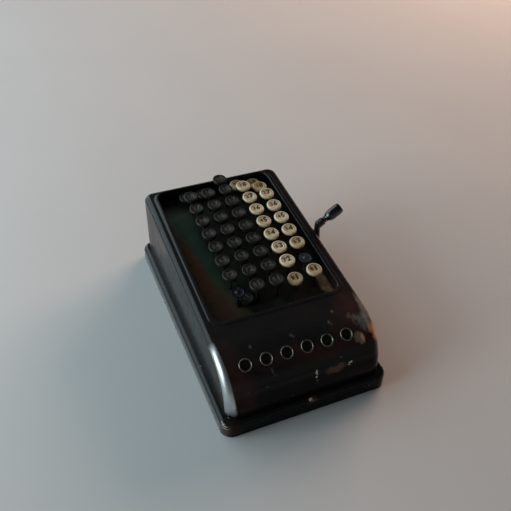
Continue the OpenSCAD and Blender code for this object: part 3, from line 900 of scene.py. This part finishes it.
def envelope_normal(x, y, z):
    """Outward unit normal of the case nearest to a point."""
    u, v = abs(x) - (HALF_W - CORNER_R), y - (HALF_L - CORNER_R)
    if u > 0 and v > 0:
        # rear corners
        rho = math.hypot(u, v)
        square = CORNER_R - EDGE_R
        top = panel_z(HALF_L - CORNER_R + square * v / rho) - EDGE_R / math.cos(SLOPE)
        if rho <= square:
            if z > top:
                return Vector((0, *PANEL_N))
            return Vector((math.copysign(u, x), v, 0)).normalized()
        f = (rho - square) / rho
        return Vector((math.copysign(u * f, x), v * f, max(0.0, z - top))).normalized()
    # side outline: its normal n, depth below it and edge radius there
    if z < ARC_Z and y < 0:
        n, depth, r = (-1, 0), y + HALF_L, CORNER_R
    elif y < ARC_Y - (z - ARC_Z) * STEEPNESS and y < 0:
        dy, dz = y - ARC_Y, z - ARC_Z
        dist = math.hypot(dy, dz) or 1e-9
        n, depth = (dy / dist, dz / dist), FRONT_R - dist
        turn = math.atan2(dz, -dy) / (math.pi / 2 - SLOPE)
        r = CORNER_R + (EDGE_R - CORNER_R) * max(0, min(1, turn))
    else:
        above = (y - HALF_L) * PANEL_N[0] + (z - CASE_H) * PANEL_N[1]
        dy, dz = y - REAR_Y, z - REAR_Z
        if dy > 0 and dz > 0:
            dist = math.hypot(dy, dz)
            n, depth, r = (dy / dist, dz / dist), EDGE_R - dist, EDGE_R
        elif -above < HALF_L - y:
            n, depth, r = PANEL_N, -above, EDGE_R
        else:
            n, depth, r = (1, 0), HALF_L - y, CORNER_R
    side = 1 if x > 0 else -1
    u = abs(x) - (HALF_W - r)
    if u <= 0:
        return Vector((0, n[0], n[1]))
    if depth >= r:
        return Vector((side, 0, 0))
    return Vector((side * u, n[0] * (r - depth), n[1] * (r - depth))).normalized()


def build_case():
    shell = envelope("case_shell", inset=0.0, drop=0.0)
    cut(shell, envelope("hollow", inset=SHEET, drop=2.0))
    # keyboard opening, its edge hidden under the rim
    under_rim = 2.4
    path = rounded_rect(-OPEN_X - under_rim, OPEN_X + under_rim, OPEN_Y0 - under_rim,
                        OPEN_Y1 + 1.0, OPEN_R + 1.6)
    cut(shell, skin("opening", [[panel_point(x, y, h) for x, y in path] for h in (-20, 10)]))
    for k in range(WHEELS):
        drill(shell, window_pos(k), window_axis(), WINDOW_R + 0.8, 6)
    drill(shell, (HALF_W, LEVER_Y, LEVER_Z), (1, 0, 0), 5.0, 8)
    me = shell.data
    me.materials.clear()
    me.materials.append(CASE_ENAMEL)
    # exact normals on the curved skin, flat ones on cut edges
    normals = [None] * len(me.loops)
    for poly in me.polygons:
        for loop in poly.loop_indices:
            exact = envelope_normal(*(me.vertices[me.loops[loop].vertex_index].co / MM))
            if poly.normal.dot(exact) > 0.88:
                normals[loop] = exact
            elif poly.normal.dot(exact) < -0.88:
                normals[loop] = -exact
            else:
                normals[loop] = poly.normal.copy()
    me.polygons.foreach_set("use_smooth", [True] * len(me.polygons))
    me.normals_split_custom_set(normals)
    assign(shell, "frame", replaces="case_cover")


# section of the rim: place between the opening (0) and the outside (1), height above the panel
RIM_SECTION = [
    (1.0, -0.35), (1.0, -0.04), (0.985, 0.03), (0.95, 0.10), (0.90, 0.24), (0.84, 0.40),
    (0.77, 0.53), (0.68, 0.63), (0.57, 0.70), (0.45, 0.75), (0.34, 0.78), (0.25, 0.76),
    (0.17, 0.68), (0.10, 0.53), (0.05, 0.33), (0.015, 0.05), (0.0, -0.4), (0.0, -1.5),
    (0.0, -4), (0.0, -8), (0.0, -WELL + 0.12), (0.22, -WELL + 0.12), (0.24, -8),
    (0.24, -2.4), (0.30, -1.9), (0.9, -1.8), (1.0, -1.5)]


def build_rim():
    """Raised rim and wall of the keyboard well."""
    inner = rounded_rect(-OPEN_X, OPEN_X, OPEN_Y0, OPEN_Y1, OPEN_R, steps=14)
    outer = rounded_rect(-RIM_X, RIM_X, RIM_Y0, RIM_Y1, RIM_R, steps=14)
    rings = []
    for t, height in RIM_SECTION:
        ring = []
        for (ix, iy), (ox, oy) in zip(inner, outer):
            y = iy + (oy - iy) * t
            h = height
            if y > REAR_Y and height > -1.3 and t > 0.3:
                # follow the rear edge of the case down
                h -= EDGE_R - math.sqrt(max(0, EDGE_R ** 2 - (y - HALF_L + EDGE_R) ** 2))
            ring.append(panel_point(ix + (ox - ix) * t, y, h))
        rings.append(ring)
    ob = skin("keyboard_rim", rings, CASE_ENAMEL, closed=True)
    sharp_by_angle(ob, 50)
    assign(ob, "frame", replaces="case_cover")


# section of the base: inset from the outside, height
BASE_SECTION = [
    (7.5, 0.0), (0.9, 0.0), (0.35, 0.15), (0.08, 0.5), (0.0, 1.1), (0.0, 4), (0.0, 7.5),
    (0.03, 9.0), (0.18, 9.35), (0.42, 9.5), (0.42, 9.7), (0.18, 9.85), (0.03, 10.2),
    (0.0, 11.4), (0.03, 12.4), (0.2, 13.3), (0.5, 14.1), (0.95, 14.8), (1.55, 15.4),
    (2.3, 15.85), (3.1, 16.15), (3.9, 16.28), (4.6, 16.3), (7.4, 16.3), (7.6, 16.5),
    (7.6, 20.0), (7.9, 20.3), (9.3, 20.3), (9.6, 20.0), (9.6, 3.2), (10, 3.0)]


def build_base():
    rings = []
    for d, z in BASE_SECTION:
        path = rounded_rect(-BASE_HALF_W + d, BASE_HALF_W - d, -BASE_HALF_L + d, BASE_HALF_L - d,
                            max(CORNER_R + 1 - d, 2.0), steps=16)
        rings.append([(x, y, z) for x, y in path])
    ob = skin("base_moulding", rings, BASE_ENAMEL)
    # counterbored screw holes
    for x in (-57, 57):
        for y in (-100, 105):
            for r, half in ((4.2, 2.1), (2.2, 6)):
                drill(ob, (x, y, 0.0), (0, 0, 1), r, half, seg=48)
    ob.data.materials.clear()
    ob.data.materials.append(BASE_ENAMEL)
    sharp_by_angle(ob, 42)
    ob.modifiers.new("wn", "WEIGHTED_NORMAL").keep_sharp = True
    assign(ob, "frame", replaces="base_pan")


# ---------------------------------------------------------------- windows and wheels
# section of a sight-hole rim: radius beyond the hole's, height above the case
WINDOW_SECTION = [
    (-0.35, -3.0), (0.75, -3.0), (0.75, -0.88), (1.28, -0.85), (1.25, 0.1), (0.95, 0.50),
    (0.50, 0.56), (0.12, 0.22), (-0.22, -0.55), (-0.35, -1.3)]


def build_windows():
    prof = rounded([(WINDOW_R + r, z) for r, z in WINDOW_SECTION], 0.2, 4)
    for k in range(WHEELS):
        ob = ring_lathe(f"window_rim_{k + 1}", prof, 72, RIM_METAL)
        sharp_by_angle(ob, 45)
        placed(ob, aimed(window_axis(), window_pos(k)))
        assign(ob, "frame", replaces="window_rims")


@cache
def glyph(text, size, depth):
    """Vertices and faces of a character as a flat solid in XY, centred."""
    curve = bpy.data.curves.new("glyph", "FONT")
    curve.body = text
    curve.size = size
    curve.extrude = depth / 2
    curve.offset = 0.034 * size
    curve.resolution_u = 3
    curve.align_x = "CENTER"
    ob = bpy.data.objects.new("glyph", curve)
    bpy.context.scene.collection.objects.link(ob)
    bpy.context.view_layer.update()
    graph = bpy.context.evaluated_depsgraph_get()
    me = bpy.data.meshes.new_from_object(ob.evaluated_get(graph))
    bpy.data.objects.remove(ob)
    bm = bmesh.new()
    bm.from_mesh(me)
    bmesh.ops.remove_doubles(bm, verts=bm.verts, dist=1e-4)
    bmesh.ops.recalc_face_normals(bm, faces=bm.faces)
    xs = [v.co.x for v in bm.verts]
    ys = [v.co.y for v in bm.verts]
    cx, cy = (min(xs) + max(xs)) / 2, (min(ys) + max(ys)) / 2
    for v in bm.verts:
        v.co.x -= cx
        v.co.y -= cy
    bm.to_mesh(me)
    bm.free()
    shape = [tuple(v.co) for v in me.vertices], [tuple(p.vertices) for p in me.polygons]
    bpy.data.meshes.remove(me)
    return shape


RIM_HALF_W = 6       # numbered rim of a wheel
RIM_T = 2.5
WEB_HALF_T = 1.2
HUB_HALF_W = 9.3
HUB_R_IN = 6.5       # hub radius on the side below the web in z, before turning
HUB_R_OUT = 8
BORE_R = 3.05


def wheel_drum(wheel_r):
    bed_r = wheel_r - RIM_T
    prof = [(BORE_R, -HUB_HALF_W), (HUB_R_IN, -HUB_HALF_W), (HUB_R_IN, -WEB_HALF_T),
            (bed_r, -WEB_HALF_T), (bed_r, -RIM_HALF_W), (wheel_r, -RIM_HALF_W),
            (wheel_r, RIM_HALF_W), (bed_r, RIM_HALF_W), (bed_r, WEB_HALF_T),
            (HUB_R_OUT, WEB_HALF_T), (HUB_R_OUT, HUB_HALF_W), (BORE_R, HUB_HALF_W)]
    # run past the start, so that the first corner is rounded too
    prof = rounded(prof + prof[:2], 0.3, 2)[1:-1]
    return ring_lathe("drum", prof, 120, WHEEL_BLACK)


def wheel_ratchet(wheel_r):
    """Ten saw teeth round the hub."""
    inner, teeth = [], []
    for i in range(10):
        for turn, r in ((0, wheel_r - 8), (33, wheel_r - 4.5)):
            a = math.radians(i * 36 + turn)
            teeth.append((r * math.cos(a), r * math.sin(a)))
            inner.append((7.9 * math.cos(a), 7.9 * math.sin(a)))
    section = ((inner, 6.8), (teeth, 6.8), (teeth, 9.0), (inner, 9.0))
    rings = [[(x, y, z) for x, y in path] for path, z in section]
    return skin("ratchet", rings, FRAME_STEEL, closed=True)


def build_wheels():
    axle_y, axle_z = middle("wheel_axle", "y"), middle("wheel_axle", "z")
    for k in range(WHEELS):
        part = f"number_wheel_{k + 1}"
        wheel_r = half_size(part, "z")
        wheel_x = col_x(k)
        ob = join(f"wheel_body_{k + 1}", [wheel_drum(wheel_r), wheel_ratchet(wheel_r)])
        sharp_by_angle(ob, 40)
        placed(ob, Matrix.Translation((wheel_x, axle_y, axle_z))
               @ Matrix.Rotation(math.pi / 2, 4, "Y"))
        assign(ob, part, replaces=part)
        # ten digits round the rim; 0 shows through the sight hole
        verts, faces = [], []
        for digit in range(10):
            glyph_verts, glyph_faces = glyph(str(digit), 9.5, 0.16)
            first = len(verts)
            for x, y, z in glyph_verts:
                r = wheel_r + 0.03 + z
                a = math.pi - WINDOW_TILT - y / wheel_r + math.radians(digit * 36)
                verts.append((wheel_x + x, axle_y + r * math.cos(a), axle_z + r * math.sin(a)))
            faces += [tuple(first + i for i in f) for f in glyph_faces]
        digits = fix_normals(make_obj(f"wheel_digits_{k + 1}", verts, faces, WHEEL_INK,
                                      smooth=False))
        assign(digits, part)


# ---------------------------------------------------------------- keys
KEY_SLOPE = math.radians(6.07)
KEY_R = 7.5
CAP_T = 4.4
DISH_R = KEY_R - 1.9
DISH_DEPTH = 0.95
ROW_1_Y = -40.1
ROW_PITCH = 19.0                 # along the slope of the keys
BLACK_COLS = 3                   # columns 1 to 3 are black, the others cream
BARE = ((5, 2), (1, 1))          # (column, digit) of the keys without a cap
# keys that have yellowed or browned more than the rest, 0 to 1
AGE = {(4, 1): 0.75, (5, 1): 0.85, (5, 3): 0.80, (4, 9): 0.90, (5, 8): 0.90, (5, 9): 1.0,
       (6, 9): 0.80, (6, 8): 0.65}
DIGIT_X, COMPLEMENT_X = 2.0, -2.3


def dish(r):
    """Height of the cap's top face at radius r, relative to the rim."""
    return 0.0 if r > DISH_R else -DISH_DEPTH * (1 - (r / DISH_R) * (r / DISH_R))


# cap section from the middle of the dish, over the rim, to the middle of the underside: r, z
CAP_SECTION = [(r, dish(r)) for r in (0.0, 0.8, 1.6, 2.4, 3.2, 3.9, 4.5, 5.0, 5.3, 5.5)] + [
    (5.7, 0.03), (6.0, 0.09), (6.4, 0.07), (6.75, -0.05), (7.05, -0.28), (7.3, -0.62),
    (7.44, -1.05), (7.5, -1.7), (7.47, -2.6), (7.32, -3.3), (7.0, -3.9), (6.5, -4.28),
    (5.9, -4.4), (5.1, -4.42), (3.0, -4.0), (0.0, -3.95)]
# section of the disc under a cap, and of a bare one: r, height above the cap's underside
SEAT = [(0, 0.1), (4.8, 0.05), (5.4, 0.0), (5.68, -0.25), (5.65, -0.8), (5.1, -1.15), (0, -1.2)]
BARE_SEAT = [
    (0, 1.0), (1.3, 1.0), (1.6, 0.75), (1.7, 0.02), (3.0, -0.12), (4.8, 0), (5.75, 0.25),
    (6.1, 0.2), (6.15, -0.2), (5.9, -0.9), (4.8, -1.15), (0, -1.2)]


def add_cap(name, mat, place, part, age=None, replaces=None):
    """A cap; with an age, its sides and underside also count as far out, so they stay clear of the
    dish dirt and, on cream caps, take the painted shade of the skirt.
    """
    cap = lathe(name, CAP_SECTION, 56, mat)
    radii = []
    for v in cap.data.vertices:
        r, z = math.hypot(v.co.x, v.co.y) / MM / KEY_R, v.co.z / MM
        radii.append(1.0 + (-1.2 - z) * 0.12 if age is not None and z < -1.2 else r)
    cap.data.attributes.new("cap_r", "FLOAT", "POINT").data.foreach_set("value", radii)
    if age is not None:
        ages = cap.data.attributes.new("cap_age", "FLOAT", "POINT")
        ages.data.foreach_set("value", [age] * len(radii))
    placed(cap, place)
    assign(cap, part, replaces)


def add_numeral(name, text, size, x, y, mat, place, part):
    """A numeral lying in the dish of a cap."""
    glyph_verts, faces = glyph(text, size, 0.12)
    verts = []
    for gx, gy, gz in glyph_verts:
        px, py = gx + x, gy + y
        verts.append((px, py, dish(math.hypot(px, py)) + 0.02 + gz))
    ob = fix_normals(make_obj(name, verts, faces, mat, smooth=False))
    placed(ob, place)
    assign(ob, part)


def key_stem(x, y, foot, top, mat):
    """Flat bar with bevelled edges and a reduced foot."""
    hx, hy, bevel = 0.8, 2.5, 0.25
    section = [(-hx + bevel, -hy), (hx - bevel, -hy), (hx, -hy + bevel), (hx, hy - bevel),
               (hx - bevel, hy), (-hx + bevel, hy), (-hx, hy - bevel), (-hx, -hy + bevel)]
    stations = ((foot, 0.8), (foot + 0.4, 1.0), (top - 6, 1.0), (top, 1.0))
    rings = [[(x + a * f, y + b * f, z) for a, b in section] for z, f in stations]
    return skin("stem", rings, mat)


def build_key(col, digit):
    part = f"key_col{col}_digit{digit}"
    lo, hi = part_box(part)
    bare = (col, digit) in BARE
    black = col <= BLACK_COLS
    x = middle(part, "x")
    y = ROW_1_Y + (digit - 1) * ROW_PITCH * math.cos(KEY_SLOPE)
    # height of the cap's top face, measured on the bare disc where there is no cap
    if bare:
        top = hi.z / MM - half_size(part, "x") * math.sin(KEY_SLOPE)
        top = top + CAP_T * math.cos(KEY_SLOPE) - 0.1
    else:
        top = hi.z / MM - (KEY_R - 1) * math.sin(KEY_SLOPE)
    # each key is a little askew, in a fixed pattern
    spin = math.radians(((col * 37 + digit * 61) % 17 - 8) * 0.55)
    tilt = (Matrix.Rotation(math.radians(((col * 53 + digit * 29) % 11 - 5) * 0.22), 4, "X")
            @ Matrix.Rotation(math.radians(((col * 19 + digit * 47) % 13 - 6) * 0.2), 4, "Y"))
    place = (Matrix.Translation((x, y, top)) @ Matrix.Rotation(KEY_SLOPE, 4, "X")
             @ tilt @ Matrix.Rotation(spin, 4, "Z"))
    if not bare:
        if black:
            inks = INK_LIGHT, INK_LIGHT
        else:
            inks = (INK_DARK, INK_BROWN) if digit == 1 else (INK_MID, INK_MID_SMALL)
        age = AGE.get((col, digit), 0.10 + 0.35 * ((col * 41 + digit * 23) % 10) / 10)
        add_cap(f"keycap_{col}_{digit}", BLACK if black else CREAM, place, part,
                age=age, replaces=part)
        # the digit and its smaller nines complement
        add_numeral(f"digit_{col}_{digit}", str(digit), 7.8, DIGIT_X, 1.0, inks[0],
                    place, part)
        add_numeral(f"complement_{col}_{digit}", str(9 - digit), 6.2, COMPLEMENT_X, 0.9, inks[1],
                    place, part)
        metal = STEM_STEEL
    else:
        metal = BARE_BLUED if black else BARE_METAL
    section = [(r, -CAP_T + z) for r, z in (BARE_SEAT if bare else SEAT)]
    seat = placed(lathe("seat", rounded(section, 0.2, 2), 48, metal), place)
    stem = key_stem(x, y, lo.z / MM, top - CAP_T - 0.9, metal)
    ob = join(f"key_stem_{col}_{digit}", [seat, stem])
    sharp_by_angle(ob, 35)
    assign(ob, part, replaces=part)


def build_loose_cap():
    """The cap of the bare front key, lying on the plate between the stems of columns 1 and 2."""
    x, y = (col_x(1) + col_x(2)) / 2 + 0.2, -38.6
    place = (Matrix.Translation(panel_point(x, y, -WELL + CAP_T + 0.12))
             @ Matrix.Rotation(SLOPE, 4, "X") @ Matrix.Rotation(math.radians(24), 4, "Z"))
    add_cap("loose_keycap", BLACK, place, "frame")
    for name, text, size, px in (("loose_digit", "1", 7.6, DIGIT_X),
                                 ("loose_complement", "8", 5.8, COMPLEMENT_X)):
        add_numeral(name, text, size, px, 0.9, INK_LIGHT, place, "frame")


# ---------------------------------------------------------------- lever
ARM_X, ARM_T = 77.5, 3.0         # inner face and thickness of the arm
ARM_L = 38.3                     # between the centres of its round ends
ARM_R_LOW, ARM_R_TOP = 6.6, 3.5
HANDLE_RISE = math.radians(33)   # of the handle above level
GRIP_OFFSET = 9.4                # start of the grip along the handle
GRIP_L = 20.3
ARM_END = ARM_X + ARM_T
SHAFT_SECTION = [                # radius, x
    (0, 54), (3.6, 54), (4, 54.4), (4, 56), (7, 56), (7, 60), (4, 60), (4, 69), (5.4, 69),
    (5.4, 71), (4, 71), (4, HALF_W + 0.6), (7, HALF_W + 0.6), (7, ARM_END), (3, ARM_END),
    (3, ARM_END + 0.9), (2.4, ARM_END + 1.15), (0, ARM_END + 1.15)]
FERRULE_SECTION = [              # radius, distance along the handle
    (0, 0), (3.6, 0), (4.15, 0.5), (4.3, 1.4), (4.3, 2.4), (3.65, 2.75), (3.65, 3.0),
    (4.3, 3.35), (4.3, 4.6), (3.65, 4.95), (3.65, 5.2), (4.2, 5.55), (4.1, 6.8), (3.4, 7.6),
    (3.15, 8.4), (3.15, 9.2), (1.98, 9.2), (1.98, 25.0), (0, 25.1)]
GRIP_SECTION = [                 # radius, distance along the grip
    (0, GRIP_L), (3.0, GRIP_L), (4.0, GRIP_L - 0.14), (4.7, GRIP_L - 0.5),
    (5.1, GRIP_L - 1.2), (5.4, GRIP_L - 2.4), (5.65, GRIP_L - 4.6), (5.77, GRIP_L - 6.8),
    (5.76, 11.6), (5.8, 9.6), (5.7, 7.7), (5.42, 5.9), (4.95, 4.5), (4.3, 3.3), (3.7, 2.4),
    (3.35, 1.7), (3.28, 1.2), (3.45, 0.8), (3.5, 0.45), (3.42, 0.1), (3.2, 0), (2.05, 0),
    (2.05, 16.4), (0, 16.4)]


def lever_arm():
    """Tapered bar with round ends and eased edges."""
    ends = [(ARM_R_LOW, 0, math.pi + math.pi * i / 24) for i in range(25)]
    ends += [(ARM_R_TOP, ARM_L, math.pi * i / 20) for i in range(21)]
    rings = []
    for x, inset in ((0, 0.49), (0.12, 0.245), (0.45, 0), (ARM_T - 0.45, 0),
                     (ARM_T - 0.12, 0.245), (ARM_T, 0.49)):
        rings.append([(ARM_X + x, LEVER_Y + (r - inset) * math.cos(a),
                       LEVER_Z + up + (r - inset) * math.sin(a)) for r, up, a in ends])
    return skin("arm", rings, LEVER_STEEL)


def lever_finger():
    """Clearing finger hanging from the shaft."""
    rings = []
    for x, ease in ((56, 0.3), (56.3, 0), (59.7, 0), (60, 0.3)):
        half_w, top, foot = 4 - ease, LEVER_Z - 4, LEVER_Z - 18 + ease
        rings.append([(x, LEVER_Y - half_w, top), (x, LEVER_Y - half_w, foot),
                      (x, LEVER_Y + half_w, foot), (x, LEVER_Y + half_w, top)])
    return skin("finger", rings, LEVER_STEEL)


def build_lever():
    shaft = lathe("shaft", rounded(SHAFT_SECTION, 0.35, 3), 64, LEVER_STEEL)
    placed(shaft, Matrix.Translation((0, LEVER_Y, LEVER_Z))
           @ Matrix.Rotation(math.pi / 2, 4, "Y"))
    handle = (Matrix.Translation((ARM_X + ARM_T / 2, LEVER_Y, LEVER_Z + ARM_L))
              @ Matrix.Rotation(math.pi / 2 - HANDLE_RISE, 4, "Y"))
    ferrule = lathe("ferrule", rounded(FERRULE_SECTION, 0.22, 3), 56, LEVER_STEEL)
    placed(ferrule, handle)
    ob = join("lever_arm", [shaft, lever_arm(), lever_finger(), ferrule])
    sharp_by_angle(ob, 40)
    assign(ob, "clearing_lever", replaces="clearing_lever")
    grip = lathe("grip_body", rounded(GRIP_SECTION, 0.2, 2), 72, GRIP_BLACK)
    sharp_by_angle(grip, 45)
    placed(grip, handle @ Matrix.Translation((0, 0, GRIP_OFFSET)))
    assign(grip, "lever_grip", replaces="lever_grip")


build_case()
build_rim()
build_base()
build_windows()
build_wheels()
for col in range(1, 6):
    for digit in range(1, 10):
        build_key(col, digit)
build_loose_cap()
build_lever()

# pieces that keep their CAD shape
for part, mat in (("keyboard_plate", PLATE_GREEN), ("mechanism_frame", FRAME_STEEL),
                  ("wheel_axle", SCREW_STEEL), ("base_screws", SCREW_STEEL)):
    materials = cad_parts[part].data.materials
    materials.clear()
    materials.append(mat)


# ---------------------------------------------------------------- stage
def floor_paper():
    m = Mat("floor_paper")
    clouds = m.noise(3.2, detail=5, rough=0.55)
    grain = m.noise(240, detail=4, rough=0.6)
    return m.done(Base_Color=m.mix(clouds, (0.68, 0.685, 0.69), (0.76, 0.76, 0.755)),
                  Roughness=0.62, Specular_IOR_Level=0.3,
                  Normal=m.bump(m.add(clouds, m.mul(grain, 0.05)), strength=0.12, dist=0.003))


make_obj("floor", [(-6, -6, 0), (6, -6, 0), (6, 6, 0), (-6, 6, 0)], [(0, 1, 2, 3)],
                  floor_paper(), scale=1)


def build_world():
    """Plain studio: pale low down, dark overhead, cool on the left and warm on the right."""
    world = bpy.data.worlds.new("world")
    bpy.context.scene.world = world
    world.use_nodes = True
    w = Nodes(world.node_tree, "Generated")
    x, _, z = w.xyz(w.co)
    left = w.math("MULTIPLY_ADD", x, -0.5, 0.5)
    cool = w.ramp(z, [(0.0, (0.20, 0.21, 0.22)), (0.22, (0.16, 0.17, 0.18)),
                      (0.50, (0.030, 0.031, 0.034)), (1.0, (0.026, 0.027, 0.030))])
    warm = w.ramp(z, [(0.0, (0.12, 0.105, 0.095)), (0.22, (0.10, 0.088, 0.080)),
                      (0.50, (0.028, 0.026, 0.025)), (1.0, (0.026, 0.027, 0.028))])
    background = w.node("Background", {0: w.mix(left, warm, cool), 1: 1.0})
    w.node("OutputWorld", {0: background.outputs[0]})


def area(name, loc, size, power, color, shine=True):
    """Rectangular light aimed at the machine; shine lets it show in reflections."""
    light = bpy.data.lights.new(name, "AREA")
    light.shape = "RECTANGLE"
    light.size, light.size_y = size
    light.energy = power
    light.color = color
    ob = bpy.data.objects.new(name, light)
    bpy.context.scene.collection.objects.link(ob)
    ob.location = loc
    ob.rotation_mode = "QUATERNION"
    ob.rotation_quaternion = (Vector((0, 0, 0.05)) - Vector(loc)).to_track_quat("-Z", "Y")
    ob.visible_glossy = shine


def build_camera():
    """Looks down from the front left."""
    cam = bpy.data.cameras.new("camera")
    cam.sensor_width = 36
    cam.lens = 45.667
    cam.clip_start = 0.05
    cam.clip_end = 30
    ob = bpy.data.objects.new("camera", cam)
    bpy.context.scene.collection.objects.link(ob)
    right = Vector((0.92490626, -0.37989391, 0.01513394))
    up = Vector((0.23531184, 0.60325812, 0.76204198))
    back = Vector((-0.29862478, -0.70125620, 0.64735074))
    pose = Matrix((right, up, back)).transposed().to_4x4()
    pose.translation = Vector((-0.18253621, -0.43360839, 0.47701069))
    ob.matrix_world = pose
    bpy.context.scene.camera = ob


build_world()
# soft window light from the left, a cooler one high at the left rear, a warm one at the right rear
area("window_left", loc=(-1.2, 0.0, 0.40), size=(0.8, 0.7), power=9.3, color=(0.81, 0.955, 1.0))
area("sky_rear_left", loc=(-0.72, 0.98, 0.82), size=(1.7, 1.2), power=8.6,
     color=(0.74, 0.93, 1.0))
area("warm_right", loc=(1.7, 1.1, 0.8), size=(1.4, 1.0), power=31.5, color=(1.0, 0.665, 0.51),
     shine=False)

view = bpy.context.scene.view_settings
view.view_transform = "Standard"
view.look = "None"
view.exposure = 0.0
view.gamma = 1.0
build_camera()
